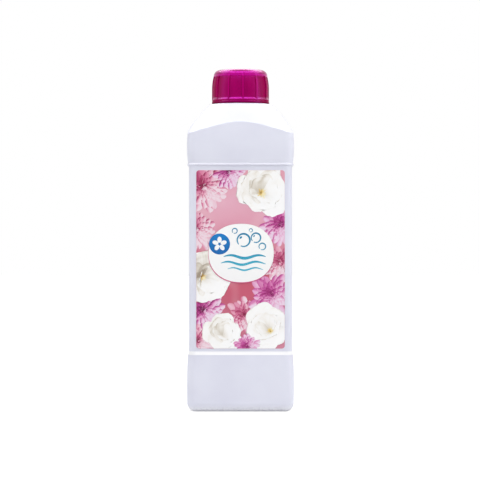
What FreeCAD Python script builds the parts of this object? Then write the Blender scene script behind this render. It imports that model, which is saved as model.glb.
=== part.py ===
# Laundry detergent bottle, one litre class, in millimetres.
# A blow-moulded bottle stands on its base at z = 0, with its front label facing -Y.
# The wall has a lower and an upper band that stand proud of a recessed label panel.
# The shoulder is a bulged dome that meets the four flat walls in arches and ends under the cap.
# The screw cap and its sealing disc climb the neck's own helix as the cap is turned.
import FreeCAD, Part
import math
import os

import Sketcher  # noqa: F401  it registers the sketch object

# %% Driving dimensions
SIZES = [
    ("body_width", 78.0, "overall width across the bands"),
    ("body_depth", 69.0, "overall depth across the bands"),
    ("wall", 1.0, "blown wall"),
    ("band_corner", 6.6, "radius of the bands' upright corners"),
    ("panel_corner", 5.0, "radius of the label panel's upright corners"),
    ("panel_inset", 1.5, "how far the label panel lies inside the bands"),
    ("band_edge_inset", 0.8, "how far a band draws in towards the panel"),
    ("base_taper", 0.2, "how far the lower band draws in at the base"),
    ("base_round", 6.4, "radius between the walls and the base"),
    ("base_upright", 7.0, "height of the upright foot of the walls, which the base's radius takes up"),
    ("foot_margin", 9.0, "from the wall to the hollow in the base"),
    ("push_up_height", 2.5, "height of the hollow in the base"),
    ("push_up_slope", 6.0, "how far the hollow's sides lean inwards"),
    ("push_up_corner", 10.0, "corner radius of the hollow at the foot"),
    ("lower_band_bulge", 20.0, "height at which the lower band is widest"),
    ("lower_band_height", 41.4, "top of the lower band"),
    ("ledge_height", 2.2, "height of the sloping ledge under the panel"),
    ("panel_height", 134.4, "flat height of the label panel"),
    ("upper_ledge_height", 1.2, "height of the steeper ledge over the panel"),
    ("lip_height", 1.3, "height of the fine lip along the upper band's foot"),
    ("lip_inset", 0.25, "how far the lip's edge lies inside the band"),
    ("upper_band_bulge", 13.9, "from the upper band's foot to where it is widest"),
    ("upper_band_turn", 25.4, "from the upper band's foot to where its barrel shape ends"),
    ("turn_inset", 0.6, "how far the upper band draws in at that height"),
    ("upper_band_height", 18.2, "from the upper band's foot to where the dome starts"),
    ("band_top_inset", 3.0, "how far the walls would draw in by the dome's top"),
    ("dome_lower_rise", 14.6, "from the dome's start to its middle section"),
    ("dome_upper_rise", 12.6, "from the middle section to the dome's top"),
    ("dome_start_reach", 3.0, "how far the dome's start stands outside the walls"),
    ("dome_front_reach", 8.8, "the same towards the front and back"),
    ("dome_middle_width", 34.6, "half width of the dome's middle section"),
    ("dome_middle_depth", 32.4, "half depth of the dome's middle section"),
    ("dome_top_radius", 23.2, "radius of the dome's top, under the cap"),
    ("dome_start_front_arc", 192.0, "radius of the front and back at the dome's start"),
    ("dome_start_side_arc", 364.0, "radius of the sides at the dome's start"),
    ("dome_start_corner", 2.4, "corner radius at the dome's start"),
    ("dome_middle_arc", 67.0, "radius of the four sides at the middle section"),
    ("dome_middle_corner", 14.0, "corner radius at the middle section"),
    ("dome_top_arc", 24.2, "radius of the four sides at the dome's top"),
    ("dome_top_corner", 21.5, "corner radius at the dome's top"),
    ("arch_round", 1.0, "radius along the arches where the dome meets the walls"),
    ("neck_height", 21.8, "from the dome's top to the mouth"),
    ("neck_radius", 17.0, "outside of the neck"),
    ("bore_radius", 15.0, "inside of the neck"),
    ("neck_root_round", 1.4, "fillet between the dome and the neck"),
    ("rim_round", 0.5, "chamfer of the mouth's edge"),
    ("collar_rise", 2.6, "from the dome's top to the neck's collar"),
    ("collar_height", 1.6, "height of the collar under the thread"),
    ("collar_radius", 18.6, "outside of the collar"),
    ("thread_pitch", 4.2, "rise of the thread in one turn"),
    ("thread_turns", 1.25, "turns of thread on the neck and in the cap"),
    ("thread_depth", 1.5, "how far a thread stands out of its wall"),
    ("thread_root", 2.2, "width of a thread at its root"),
    ("thread_crest", 1.0, "width of a thread at its crest"),
    ("thread_rise", 11.6, "from the dome's top to the start of the neck's thread"),
    ("thread_play", 0.2, "gap between the flanks that bear when the cap is tight"),
    ("skirt_clearance", 0.6, "from the neck's thread to the cap's inside"),
    ("cap_gap", 0.4, "from the dome's top to the cap's lower edge"),
    ("cap_height", 25.0, "overall height of the cap"),
    ("cap_radius", 21.1, "outside of the cap over its ribs"),
    ("flange_height", 4.0, "plain band at the foot of the cap"),
    ("flange_flare", 0.25, "how far that band widens downwards"),
    ("groove_depth", 0.2, "fine groove round the plain band"),
    ("groove_height", 0.6, "height of that groove"),
    ("ledge_slope", 1.0, "height of the sloping ledge over the plain band"),
    ("crown_flat_radius", 16.4, "flat top of the cap"),
    ("crown_radius", 19.8, "cap's radius at the crown's edge"),
    ("crown_drop", 4.2, "from the cap's top to the crown's edge"),
    ("crown_arc", 4.3, "radius of the crown's rounding"),
    ("taper_drop", 14.0, "from the cap's top to where its side is upright"),
    ("taper_arc", 40.0, "radius of the cap's curved side"),
    ("rib_count", 12.0, "ribs round the cap"),
    ("rib_width_angle", 3.4, "angle that one rib takes"),
    ("rib_height", 0.45, "how far the ribs stand out of the panels"),
    ("rib_turn", 6.7, "angle from +X to the end of the first rib"),
    ("cap_top_thickness", 2.2, "thickness of the cap's top"),
    ("cap_neck_gap", 0.35, "from the neck to the inside of the cap's crown"),
    ("disc_thickness", 1.3, "foam sealing disc"),
    ("disc_gap", 0.05, "from the disc to the mouth"),
    ("disc_side_gap", 0.25, "from the disc's edge to the cap"),
    ("label_side_margin", 0.4, "from the label to the panel's rounded corner"),
    ("label_foot_margin", 2.3, "from the label to the lower ledge"),
    ("label_head_margin", 2.8, "from the label to the upper ledge"),
    ("label_corner", 2.2, "corner radius of the label"),
    ("label_thickness", 0.12, "printed film"),
    ("fill_gap", 0.15, "from the detergent to the wall"),
    ("fill_height", 209.4, "level of the detergent"),
]

# %% Heights and sizes worked out from them, as expressions of the sheet's cells
PANEL_FOOT = "Sizes.lower_band_height + Sizes.ledge_height"
PANEL_HEAD = f"{PANEL_FOOT} + Sizes.panel_height"
BAND_FOOT = f"{PANEL_HEAD} + Sizes.upper_ledge_height"
DOME_START = f"{BAND_FOOT} + Sizes.upper_band_height"
DOME_MIDDLE = f"{DOME_START} + Sizes.dome_lower_rise"
DOME_TOP = f"{DOME_MIDDLE} + Sizes.dome_upper_rise"
MOUTH = f"{DOME_TOP} + Sizes.neck_height"
THREAD_RADIUS = "Sizes.neck_radius + Sizes.thread_depth"
SKIRT_INSIDE = f"{THREAD_RADIUS} + Sizes.skirt_clearance"
CAP_FOOT = f"{DOME_TOP} + Sizes.cap_gap"
CAP_TOP = f"{CAP_FOOT} + Sizes.cap_height"
CROWN_EDGE = f"{CAP_TOP} - Sizes.crown_drop"
CROWN_INSIDE = "Sizes.neck_radius + Sizes.cap_neck_gap"
LEDGE = f"{CAP_FOOT} + Sizes.flange_height"
NECK_THREAD_START = f"{DOME_TOP} + Sizes.thread_rise"
FLANK_GAP = "(Sizes.thread_root + Sizes.thread_crest) / 2 + Sizes.thread_play"
CAP_THREAD_START = f"{NECK_THREAD_START} - {FLANK_GAP}"
PANEL_FACE = "Sizes.body_depth / 2 - Sizes.panel_inset"
OVERLAP = 0.3
MARGIN = 5.0

doc = FreeCAD.newDocument("detergent_bottle")


def fill_sheet():
    """The sheet holds one named cell for each driving dimension."""
    sheet = doc.addObject("Spreadsheet::Sheet", "Sizes")
    for row, (name, value, note) in enumerate(SIZES, start=1):
        sheet.set(f"A{row}", str(value))
        sheet.setAlias(f"A{row}", name)
        sheet.set(f"B{row}", note)
    doc.recompute()
    return sheet


sizes = fill_sheet()


def number(expression):
    """The present value of an expression of the sheet's cells."""
    value = sizes.evalExpression(expression)
    return float(getattr(value, "Value", value))


# %% Sketches
def new_body(name):
    return doc.addObject("PartDesign::Body", name)


def origin_feature(body, role):
    return next(f for f in body.Origin.OriginFeatures if f.Role == role)


def new_sketch(body, name, plane, offset):
    """A sketch on one of the body's own planes, moved along that plane's normal."""
    sketch = body.newObject("Sketcher::SketchObject", name)
    sketch.AttachmentSupport = (origin_feature(body, plane), "")
    sketch.MapMode = "FlatFace"
    sketch.setExpression("AttachmentOffset.Base.z", offset)
    return sketch


def limit(sketch, name, constraint, expression):
    """Adds a constraint whose value follows an expression."""
    index = sketch.addConstraint(constraint)
    sketch.renameConstraint(index, name)
    sketch.setExpression(f"Constraints.{name}", expression)


def arc(centre, radius, start, end):
    """The arc from start to end, counter-clockwise about its centre."""
    up = FreeCAD.Vector(0, 0, 1)
    angles = [math.atan2(p.y - centre.y, p.x - centre.x) for p in (start, end)]
    return Part.ArcOfCircle(Part.Circle(centre, up, radius), *angles)


def join_in_ring(sketch, count):
    """Joins each edge's end to the next one's start, with a common tangent."""
    for i in range(count):
        sketch.addConstraint(Sketcher.Constraint("Tangent", i, 2, (i + 1) % count, 1))


def rounded_rectangle(body, name, plane, offset, half_width, foot, head, corner):
    """A rectangle with four equal rounded corners, from foot to head along the sketch's Y."""
    sketch = new_sketch(body, name, plane, offset)
    a, low, high, r = (number(e) for e in (half_width, foot, head, corner))
    point = FreeCAD.Vector
    centres = [point(a - r, low + r), point(a - r, high - r), point(r - a, high - r), point(r - a, low + r)]
    starts = [point(a - r, low), point(a, high - r), point(r - a, high), point(-a, low + r)]
    ends = [point(a, low + r), point(a - r, high), point(-a, high - r), point(r - a, low)]
    for i in range(4):
        sketch.addGeometry(Part.LineSegment(ends[i - 1], starts[i]), False)
        sketch.addGeometry(arc(centres[i], r, starts[i], ends[i]), False)
    join_in_ring(sketch, 8)
    for line, direction in ((0, "Horizontal"), (2, "Vertical"), (4, "Horizontal"), (6, "Vertical")):
        sketch.addConstraint(Sketcher.Constraint(direction, line))
    for i in (3, 5, 7):
        sketch.addConstraint(Sketcher.Constraint("Equal", 1, i))
    limit(sketch, "corner", Sketcher.Constraint("Radius", 1, r), corner)
    limit(sketch, "right", Sketcher.Constraint("DistanceX", -1, 1, 2, 1, a), half_width)
    limit(sketch, "left", Sketcher.Constraint("DistanceX", 6, 1, -1, 1, a), half_width)
    limit(sketch, "head", Sketcher.Constraint("DistanceY", -1, 1, 4, 1, high), head)
    limit(sketch, "foot", Sketcher.Constraint("DistanceY", -1, 1, 0, 1, low), foot)
    return sketch


def corner_centre(side, front, side_arc, front_arc, corner):
    """Centre of the corner arc that touches the right and back arcs from inside, by halving."""
    right = FreeCAD.Vector(side - side_arc, 0)
    back = FreeCAD.Vector(0, front - front_arc)
    low, high = 0.0, math.pi / 2
    for _ in range(60):
        angle = (low + high) / 2
        centre = back + FreeCAD.Vector(math.sin(angle), math.cos(angle)) * (front_arc - corner)
        if (centre - right).Length < side_arc - corner:
            low = angle
        else:
            high = angle
    return centre, right, back


def bulged_rectangle(body, name, offset, side, front, side_arc, front_arc, corner):
    """Four large arcs joined by four corner arcs: a rectangle whose sides bulge."""
    sketch = new_sketch(body, name, "XY_Plane", offset)
    a, b, ra, rb, r = (number(e) for e in (side, front, side_arc, front_arc, corner))
    centre, right, back = corner_centre(a, b, ra, rb, r)
    on_side = right + (centre - right).normalize() * ra
    on_back = back + (centre - back).normalize() * rb
    point = FreeCAD.Vector

    def mirrored(v, x, y):
        return point(v.x * x, v.y * y)

    quarters = [(1, -1), (1, 1), (-1, 1), (-1, -1)]
    big_centres = [mirrored(back, 1, -1), right, back, mirrored(right, -1, 1)]
    for i, (x, y) in enumerate(quarters):
        px, py = quarters[i - 1]
        upright = i % 2 == 1
        touch = on_side if upright else on_back
        after = on_back if upright else on_side
        big = arc(big_centres[i], ra if upright else rb, mirrored(touch, px, py), mirrored(touch, x, y))
        sketch.addGeometry(big, False)
        small = arc(mirrored(centre, x, y), r, mirrored(touch, x, y), mirrored(after, x, y))
        sketch.addGeometry(small, False)
    join_in_ring(sketch, 8)
    for first, second in ((0, 4), (2, 6), (1, 3), (1, 5), (1, 7)):
        sketch.addConstraint(Sketcher.Constraint("Equal", first, second))
    for edge, axis in ((0, -2), (4, -2), (2, -1), (6, -1)):
        sketch.addConstraint(Sketcher.Constraint("PointOnObject", edge, 3, axis))
    limit(sketch, "front_arc", Sketcher.Constraint("Radius", 0, rb), front_arc)
    limit(sketch, "side_arc", Sketcher.Constraint("Radius", 2, ra), side_arc)
    limit(sketch, "corner", Sketcher.Constraint("Radius", 1, r), corner)
    limit(sketch, "front", Sketcher.Constraint("DistanceY", -1, 1, 0, 3, rb - b), f"({front_arc}) - ({front})")
    limit(sketch, "back", Sketcher.Constraint("DistanceY", 4, 3, -1, 1, rb - b), f"({front_arc}) - ({front})")
    limit(sketch, "left", Sketcher.Constraint("DistanceX", -1, 1, 6, 3, ra - a), f"({side_arc}) - ({side})")
    limit(sketch, "right", Sketcher.Constraint("DistanceX", 2, 3, -1, 1, ra - a), f"({side_arc}) - ({side})")
    return sketch


def profile(body, name, corners, arcs=()):
    """A closed outline in the XZ plane. Each corner is a pair of expressions, radius and height.
    arcs maps the number of the edge that leaves a corner to its radius, and is positive where it bulges outwards."""
    sketch = new_sketch(body, name, "XZ_Plane", "0")
    arcs = dict(arcs)
    points = [FreeCAD.Vector(number(x), number(y)) for x, y in corners]
    for i, start in enumerate(points):
        end = points[(i + 1) % len(points)]
        if i not in arcs:
            sketch.addGeometry(Part.LineSegment(start, end), False)
            continue
        radius = number(arcs[i])
        half = (end - start) / 2
        across = FreeCAD.Vector(half.y, -half.x).normalize()
        centre = start + half + across * math.sqrt(radius**2 - half.Length**2)
        sketch.addGeometry(arc(centre, radius, end, start), False)
    count = len(points)
    for i in range(count):
        after = (i + 1) % count
        end = 1 if i in arcs else 2
        start = 2 if after in arcs else 1
        sketch.addConstraint(Sketcher.Constraint("Coincident", i, end, after, start))
    for i, (x, y) in enumerate(corners):
        start = 2 if i in arcs else 1
        if x == "0":
            sketch.addConstraint(Sketcher.Constraint("PointOnObject", i, start, -2))
        else:
            place = Sketcher.Constraint("DistanceX", -1, 1, i, start, points[i].x)
            limit(sketch, f"radius_{i}", place, x)
        limit(sketch, f"height_{i}", Sketcher.Constraint("DistanceY", -1, 1, i, start, points[i].y), y)
    for i, radius in arcs.items():
        limit(sketch, f"arc_{i}", Sketcher.Constraint("Radius", i, number(radius)), radius)
    return sketch


# %% Features
def loft(body, name, sections, ruled, kind="AdditiveLoft"):
    feature = body.newObject(f"PartDesign::{kind}", name)
    feature.Profile = sections[0]
    feature.Sections = sections[1:]
    feature.Ruled = ruled
    doc.recompute()
    return feature


def pad(body, name, sketch, length, downwards=False):
    feature = body.newObject("PartDesign::Pad", name)
    feature.Profile = sketch
    feature.setExpression("Length", length)
    feature.Reversed = downwards
    doc.recompute()
    return feature


def revolve(body, name, sketch):
    feature = body.newObject("PartDesign::Revolution", name)
    feature.Profile = sketch
    feature.ReferenceAxis = (origin_feature(body, "Z_Axis"), [""])
    feature.Angle = 360
    doc.recompute()
    return feature


def helix(body, name, sketch):
    """A right-handed thread of the sheet's pitch and turns along the profile's own outline."""
    feature = body.newObject("PartDesign::AdditiveHelix", name)
    feature.Profile = sketch
    feature.ReferenceAxis = (origin_feature(body, "Z_Axis"), [""])
    feature.Mode = 1
    feature.setExpression("Pitch", "Sizes.thread_pitch")
    feature.setExpression("Turns", "Sizes.thread_turns")
    feature.LeftHanded = False
    doc.recompute()
    return feature


def boolean(kind, name, base, tool):
    feature = doc.addObject(f"Part::{kind}", name)
    feature.Base = base
    feature.Tool = tool
    doc.recompute()
    return feature


# %% Bottle walls
def wall_section(body, name, height, draw_in, corner, inset):
    """One level section of the walls, drawn in from the overall width and depth."""
    half_width = f"Sizes.body_width / 2 - ({draw_in}) - ({inset})"
    half_depth = f"Sizes.body_depth / 2 - ({draw_in}) - ({inset})"
    return rounded_rectangle(
        body, name, "XY_Plane", height, half_width, f"-({half_depth})", half_depth, f"({corner}) - ({inset})"
    )


def walls(name, inset):
    """The walls from the base to above the dome, drawn in all round by inset."""
    body = new_body(name)

    def section(label, height, draw_in, corner="Sizes.band_corner"):
        return wall_section(body, f"{name}_{label}", height, draw_in, corner, inset)

    pad(body, f"{name}_upright", section("base", inset, "Sizes.base_taper"), f"Sizes.base_upright - ({inset})")
    round_base(body, name, inset)
    push_up(body, name, inset)
    start = section("start", "Sizes.base_upright", "Sizes.base_taper")
    bulge = section("lower_bulge", "Sizes.lower_band_bulge", "0")
    edge = section("lower_edge", "Sizes.lower_band_height", "Sizes.band_edge_inset")
    loft(body, f"{name}_lower_band", [start, bulge, edge], ruled=False)
    foot = section("panel_foot", PANEL_FOOT, "Sizes.panel_inset", "Sizes.panel_corner")
    loft(body, f"{name}_lower_ledge", [edge, foot], ruled=True)
    pad(body, f"{name}_panel", foot, "Sizes.panel_height")
    head = section("panel_head", PANEL_HEAD, "Sizes.panel_inset", "Sizes.panel_corner")
    lip = section("lip", BAND_FOOT, "Sizes.lip_inset")
    loft(body, f"{name}_upper_ledge", [head, lip], ruled=True)
    crease = section("crease", f"{BAND_FOOT} + Sizes.lip_height", "Sizes.band_edge_inset")
    loft(body, f"{name}_lip", [lip, crease], ruled=True)
    widest = section("upper_bulge", f"{BAND_FOOT} + Sizes.upper_band_bulge", "0")
    turn = section("turn", f"{BAND_FOOT} + Sizes.upper_band_turn", "Sizes.turn_inset")
    top = section("top", DOME_TOP, "Sizes.band_top_inset")
    loft(body, f"{name}_upper_band", [crease, widest, turn, top], ruled=False)
    return body


def round_base(body, name, inset):
    """Rounds the edges between the base and the walls."""
    upright = body.Tip
    level = number(inset)
    names = [
        f"Edge{i}"
        for i, edge in enumerate(upright.Shape.Edges, start=1)
        if edge.BoundBox.ZMax < level + 1e-4
    ]
    feature = body.newObject("PartDesign::Fillet", f"{name}_base_round")
    feature.Base = (upright, names)
    feature.setExpression("Radius", f"Sizes.base_round - ({inset})")
    doc.recompute()


def push_up(body, name, inset):
    """The hollow in the base, which leaves a flat foot all round."""
    foot = "Sizes.foot_margin"
    inner = f"{foot} + Sizes.push_up_slope"
    corner = "Sizes.push_up_corner"
    inner_corner = f"{corner} - Sizes.push_up_slope"
    top = f"Sizes.push_up_height + ({inset})"
    outwards = f"-({inset})"
    low = wall_section(body, f"{name}_push_up_foot", inset, foot, corner, outwards)
    high = wall_section(body, f"{name}_push_up_top", top, inner, inner_corner, outwards)
    loft(body, f"{name}_push_up", [low, high], ruled=True, kind="SubtractiveLoft")


# %% Dome
def dome(name, inset):
    """A body that is larger than the walls up to the dome's start, and is the dome above it."""
    body = new_body(name)
    start = f"{DOME_START} - ({inset})"
    side = f"Sizes.body_width / 2 + Sizes.dome_start_reach - ({inset})"
    front = f"Sizes.body_depth / 2 + Sizes.dome_front_reach - ({inset})"
    low = bulged_rectangle(
        body,
        f"{name}_start",
        start,
        side,
        front,
        f"Sizes.dome_start_side_arc - ({inset})",
        f"Sizes.dome_start_front_arc - ({inset})",
        f"Sizes.dome_start_corner - ({inset})",
    )
    middle = bulged_rectangle(
        body,
        f"{name}_middle",
        f"{DOME_MIDDLE} - ({inset})",
        f"Sizes.dome_middle_width - ({inset})",
        f"Sizes.dome_middle_depth - ({inset})",
        f"Sizes.dome_middle_arc - ({inset})",
        f"Sizes.dome_middle_arc - ({inset})",
        f"Sizes.dome_middle_corner - ({inset})",
    )
    top = bulged_rectangle(
        body,
        f"{name}_top",
        f"{DOME_TOP} - ({inset})",
        f"Sizes.dome_top_radius - ({inset})",
        f"Sizes.dome_top_radius - ({inset})",
        f"Sizes.dome_top_arc - ({inset})",
        f"Sizes.dome_top_arc - ({inset})",
        f"Sizes.dome_top_corner - ({inset})",
    )
    loft(body, f"{name}_surface", [low, middle, top], ruled=False)
    block = rounded_rectangle(
        body, f"{name}_block", "XY_Plane", start, side, f"-({front})", front, "Sizes.band_corner - Sizes.wall"
    )
    pad(body, f"{name}_column", block, f"{start} + {MARGIN}", downwards=True)
    return body


def round_arches(common, walls_body, dome_body):
    """Rounds the arches, which are the edges that lie on the walls and on the dome."""
    names = []
    for i, edge in enumerate(common.Shape.Edges, start=1):
        at = edge.valueAt((edge.FirstParameter + edge.LastParameter) / 2)
        spot = Part.Vertex(at)
        if all(spot.distToShape(b.Shape.Shells[0])[0] < 1e-3 for b in (walls_body, dome_body)):
            names.append(i)
    feature = doc.addObject("Part::Fillet", "BottleRounded")
    feature.Base = common
    radius = number("Sizes.arch_round")
    feature.Edges = [(i, radius, radius) for i in names]
    doc.recompute()
    return feature


# %% Neck
def trapezoid(body, name, start, root, crest, centre):
    """A thread's section: root and crest are radii, and the root is sunk into the wall."""
    half_root = "Sizes.thread_root / 2"
    half_crest = "Sizes.thread_crest / 2"
    corners = [
        (root, f"{centre} - {half_root}"),
        (crest, f"{centre} - {half_crest}"),
        (crest, f"{centre} + {half_crest}"),
        (root, f"{centre} + {half_root}"),
    ]
    return profile(body, name, corners)


def neck_finish():
    """The neck with its collar, rim chamfer, root fillet and thread."""
    body = new_body("NeckFinish")
    collar = f"{DOME_TOP} + Sizes.collar_rise"
    neck = "Sizes.neck_radius"
    root = "Sizes.neck_root_round"
    corners = [
        ("0", f"{DOME_TOP} - Sizes.wall"),
        (f"{neck} + {root}", f"{DOME_TOP} - Sizes.wall"),
        (f"{neck} + {root}", DOME_TOP),
        (neck, f"{DOME_TOP} + {root}"),
        (neck, collar),
        ("Sizes.collar_radius", f"{collar} + Sizes.collar_height / 4"),
        ("Sizes.collar_radius", f"{collar} + Sizes.collar_height * 3 / 4"),
        (neck, f"{collar} + Sizes.collar_height"),
        (neck, f"{MOUTH} - Sizes.rim_round"),
        (f"{neck} - Sizes.rim_round", MOUTH),
        ("0", MOUTH),
    ]
    revolve(body, "NeckTurned", profile(body, "NeckProfile", corners))
    section = trapezoid(
        body, "NeckThreadSection", "0", f"{neck} - {OVERLAP}", THREAD_RADIUS, NECK_THREAD_START
    )
    helix(body, "NeckThread", section)
    return body


# %% Bottle
def bottle():
    """The blown shell: outer form and neck, less the cavity and bore."""
    outer_walls = walls("OuterWalls", "0")
    outer_dome = dome("OuterDome", "0")
    form = boolean("Common", "OuterForm", outer_walls, outer_dome)
    rounded = round_arches(form, outer_walls, outer_dome)
    solid = boolean("Fuse", "BottleSolid", rounded, neck_finish())
    inner_walls = walls("InnerWalls", "Sizes.wall")
    inner_dome = dome("InnerDome", "Sizes.wall")
    cavity = boolean("Common", "Cavity", inner_walls, inner_dome)
    bore = doc.addObject("Part::Cylinder", "Bore")
    bore.setExpression("Radius", "Sizes.bore_radius")
    bore.setExpression("Placement.Base.z", f"{DOME_MIDDLE}")
    bore.setExpression("Height", f"Sizes.dome_upper_rise + Sizes.neck_height + {MARGIN}")
    hollow = boolean("Fuse", "Hollow", cavity, bore)
    shell = boolean("Cut", "Bottle", solid, hollow)
    shell.Label = "bottle"
    return shell


# %% Detergent
def detergent():
    """The liquid, a hair inside the wall, up to its level in the dome."""
    inset = "Sizes.wall + Sizes.fill_gap"
    column = boolean("Common", "LiquidForm", walls("LiquidWalls", inset), dome("LiquidDome", inset))
    box = doc.addObject("Part::Box", "LiquidLevel")
    box.setExpression("Length", "Sizes.body_width")
    box.setExpression("Width", "Sizes.body_depth")
    box.setExpression("Height", "Sizes.fill_height")
    box.setExpression("Placement.Base.x", "-Sizes.body_width / 2")
    box.setExpression("Placement.Base.y", "-Sizes.body_depth / 2")
    liquid = boolean("Common", "Detergent", column, box)
    liquid.Label = "detergent"
    return liquid


# %% Cap
def cap_shell(body):
    """The cap's turned form, open below, with a wider skirt under a narrower crown."""
    skirt_top = f"{CROWN_EDGE} - Sizes.crown_drop / 2"
    inner_top = f"{CAP_TOP} - Sizes.cap_top_thickness"
    groove = f"{CAP_FOOT} + Sizes.flange_height / 2"
    flare = "Sizes.cap_radius + Sizes.flange_flare"
    corners = [
        ("0", CAP_TOP),
        ("Sizes.crown_flat_radius", CAP_TOP),
        ("Sizes.crown_radius", CROWN_EDGE),
        ("Sizes.cap_radius", f"{CAP_TOP} - Sizes.taper_drop"),
        ("Sizes.cap_radius", f"{groove} + Sizes.groove_height / 2"),
        ("Sizes.cap_radius - Sizes.groove_depth", groove),
        ("Sizes.cap_radius", f"{groove} - Sizes.groove_height / 2"),
        (flare, CAP_FOOT),
        (SKIRT_INSIDE, CAP_FOOT),
        (SKIRT_INSIDE, f"{skirt_top} - (({SKIRT_INSIDE}) - ({CROWN_INSIDE}))"),
        (CROWN_INSIDE, skirt_top),
        (CROWN_INSIDE, inner_top),
        ("0", inner_top),
    ]
    arcs = {1: "Sizes.crown_arc", 2: "Sizes.taper_arc"}
    revolve(body, "CapTurned", profile(body, "CapProfile", corners, arcs))


def cap_panels(body):
    """The shallow panels between the ribs, one groove repeated round the axis."""
    outside = f"Sizes.cap_radius + {MARGIN}"
    panel = "Sizes.cap_radius - Sizes.rib_height"
    corners = [
        (outside, CROWN_EDGE),
        ("Sizes.crown_radius", CROWN_EDGE),
        ("Sizes.crown_radius - Sizes.rib_height", f"{CROWN_EDGE} - Sizes.ledge_slope"),
        (panel, f"{CAP_TOP} - Sizes.taper_drop"),
        (panel, LEDGE),
        ("Sizes.cap_radius", f"{LEDGE} - Sizes.ledge_slope"),
        (outside, f"{LEDGE} - Sizes.ledge_slope"),
    ]
    sketch = profile(body, "CapPanelProfile", corners, {2: "Sizes.taper_arc"})
    sketch.AttachmentOffset = FreeCAD.Placement(FreeCAD.Vector(), FreeCAD.Rotation(FreeCAD.Vector(0, 1, 0), 1))
    sketch.setExpression("AttachmentOffset.Rotation.Angle", "Sizes.rib_turn")
    groove = body.newObject("PartDesign::Groove", "CapPanel")
    groove.Profile = sketch
    groove.ReferenceAxis = (origin_feature(body, "Z_Axis"), [""])
    groove.setExpression("Angle", "360 / Sizes.rib_count - Sizes.rib_width_angle")
    doc.recompute()
    pattern = body.newObject("PartDesign::PolarPattern", "CapPanels")
    pattern.Originals = [groove]
    pattern.Axis = (origin_feature(body, "Z_Axis"), [""])
    pattern.Angle = 360
    pattern.setExpression("Occurrences", "Sizes.rib_count")
    body.Tip = pattern
    doc.recompute()


def cap():
    """The screw cap, with ribs outside and a thread inside."""
    body = new_body("Cap")
    cap_shell(body)
    cap_panels(body)
    crest = f"{SKIRT_INSIDE} - Sizes.thread_depth - Sizes.skirt_clearance / 6"
    section = trapezoid(
        body, "CapThreadSection", "0", f"{SKIRT_INSIDE} + {OVERLAP}", crest, CAP_THREAD_START
    )
    helix(body, "CapThread", section)
    body.Label = "screw_cap"
    return body


# %% Sealing disc
def sealing_disc():
    """The foam disc in the cap's crown that closes the mouth."""
    disc = doc.addObject("Part::Cylinder", "Disc")
    disc.setExpression("Radius", f"{CROWN_INSIDE} - Sizes.disc_side_gap")
    disc.setExpression("Height", "Sizes.disc_thickness")
    disc.setExpression("Placement.Base.z", f"{MOUTH} + Sizes.disc_gap")
    disc.Label = "sealing_disc"
    return disc


# %% Labels
def label(name, node, offset, outwards):
    """A printed film on a flat panel face."""
    body = new_body(name)
    half_width = (
        "Sizes.body_width / 2 - Sizes.panel_inset - Sizes.panel_corner - Sizes.label_side_margin"
    )
    sheet = rounded_rectangle(
        body,
        f"{name}Outline",
        "XZ_Plane",
        offset,
        half_width,
        f"{PANEL_FOOT} + Sizes.label_foot_margin",
        f"{PANEL_HEAD} - Sizes.label_head_margin",
        "Sizes.label_corner",
    )
    pad(body, f"{name}Film", sheet, "Sizes.label_thickness", downwards=not outwards)
    body.Label = node
    return body


# %% Build, check and write
def failed(objects):
    return [o.Name for o in objects if "Invalid" in o.State or "Error" in o.State]


def main():
    parts = [
        bottle(),
        detergent(),
        cap(),
        sealing_disc(),
        label("FrontLabel", "front_label", PANEL_FACE, True),
        label("BackLabel", "back_label", f"-({PANEL_FACE})", False),
    ]
    doc.recompute()
    wrong = failed(doc.Objects)
    if wrong:
        raise SystemExit(f"these objects failed: {wrong}")
    os.makedirs("parts", exist_ok=True)
    for part in parts:
        shape = part.Shape
        if shape.isNull() or not shape.isValid() or len(shape.Solids) != 1:
            raise SystemExit(f"{part.Label} isn't one valid solid")
        shape.exportStep(f"parts/{part.Label}.step")
        print(part.Label, "volume", round(shape.Volume, 1), "mm3")


main()
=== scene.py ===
# %% [markdown]
# # A laundry detergent bottle
# A tall blown plastic bottle stands on a white table, with a ribbed magenta screw cap and a printed label
# of flowers on its front. The solids come ready made, in metres: the bottle, its cap and disc, the liquid
# and two label films. This lesson gives each one a finish made of shader nodes, and grows the printed
# flowers with Geometry Nodes. Heights in it are metres above the table.

# %% Load the solids
import math

import bmesh
import bpy
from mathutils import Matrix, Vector


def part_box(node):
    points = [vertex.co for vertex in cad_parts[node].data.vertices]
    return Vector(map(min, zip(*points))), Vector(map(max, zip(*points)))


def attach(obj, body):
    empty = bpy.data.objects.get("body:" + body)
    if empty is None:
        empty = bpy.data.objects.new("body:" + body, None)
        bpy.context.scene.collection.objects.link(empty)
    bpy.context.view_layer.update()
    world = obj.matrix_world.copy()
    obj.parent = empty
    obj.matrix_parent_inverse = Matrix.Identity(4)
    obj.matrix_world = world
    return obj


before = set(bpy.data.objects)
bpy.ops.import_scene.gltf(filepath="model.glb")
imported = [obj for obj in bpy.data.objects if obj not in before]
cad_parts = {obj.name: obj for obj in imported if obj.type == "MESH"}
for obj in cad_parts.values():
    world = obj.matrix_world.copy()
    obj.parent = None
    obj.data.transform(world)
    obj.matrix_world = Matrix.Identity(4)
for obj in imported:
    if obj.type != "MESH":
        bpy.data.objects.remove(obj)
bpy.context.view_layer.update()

scene = bpy.context.scene
print("solids:", ", ".join(sorted(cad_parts)))

# %% [markdown]
# ## The photographer's place
# The picture was taken from far off, level with the middle of the bottle, so its upright edges look
# parallel. A long lens does the same; a short one close by would make the shoulder lean away. At 1.628 m
# one pixel of a 480 pixel picture is 0.74 mm wide on the bottle's axis. The bottle stands half a pixel to
# the right of the picture's middle, so the camera is moved to the left by as much.

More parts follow.
